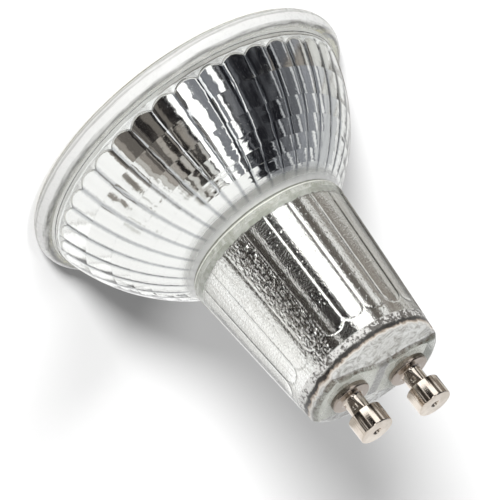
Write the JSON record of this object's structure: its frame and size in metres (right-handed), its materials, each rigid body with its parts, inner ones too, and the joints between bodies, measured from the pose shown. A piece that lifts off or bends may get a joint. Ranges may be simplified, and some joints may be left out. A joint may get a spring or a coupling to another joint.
{
  "type": "led light bulb",
  "caption": "Reflector lamp with a pressed clear-glass body, silvered fluted bowl, tapered neck and headed contact pins on its base bar.",
  "frame": {"origin": "on the lamp's axis, in the plane of the front rim on which it stands", "axes": "+Z along the lamp's axis from the front rim towards the pins, +X from the left pin to the right pin"},
  "size_m": [0.05, 0.05, 0.0525],
  "materials": {
    "clear_glass": "clear pressed glass, smooth outside",
    "silvering": "mirror silvering",
    "grainy_aluminium": "grainy bright aluminium",
    "clear_plastic": "clear moulded optic",
    "silicone": "translucent white",
    "plain_aluminium": "satin, pressed",
    "white_solder_mask": "white board lacquer",
    "phosphor": "yellow phosphor in a white frame",
    "steel": "zinc plated",
    "white_plastic": "moulded",
    "green_board": "green solder mask",
    "capacitor_sleeve": "shrunk sleeve",
    "film_box": "moulded box",
    "ferrite": "matt grey ferrite",
    "copper_wire": "enamelled copper",
    "black_epoxy": "moulded epoxy",
    "resistor_coat": "cement coat",
    "nickel": "nickel plated brass",
    "wire_sleeve": "soft insulation"
  },
  "bodies": {
    "root": {"glass_body": "clear_glass", "fluted_reflector": "silvering", "neck_sleeve": "grainy_aluminium", "front_lens": "clear_plastic", "lens_seal": "silicone", "heat_spreader": "plain_aluminium", "led_board": "white_solder_mask", "insulator_tube": "white_plastic", "driver_board": "green_board", "smoothing_capacitor": "capacitor_sleeve", "film_capacitor": "film_box", "choke_core": "ferrite", "choke_winding": "copper_wire", "bridge_rectifier": "black_epoxy", "driver_chip": "black_epoxy", "fusible_resistor": "resistor_coat", "led_package_1": "phosphor", "led_package_2": "phosphor", "led_package_3": "phosphor", "led_package_4": "phosphor", "board_screw_right": "steel", "contact_pin_right": "nickel", "pin_washer_right": "steel", "pin_wire_right": "wire_sleeve", "led_wire_right": "wire_sleeve", "board_screw_left": "steel", "contact_pin_left": "nickel", "pin_washer_left": "steel", "pin_wire_left": "wire_sleeve", "led_wire_left": "wire_sleeve"}
  },
  "joints": []
}
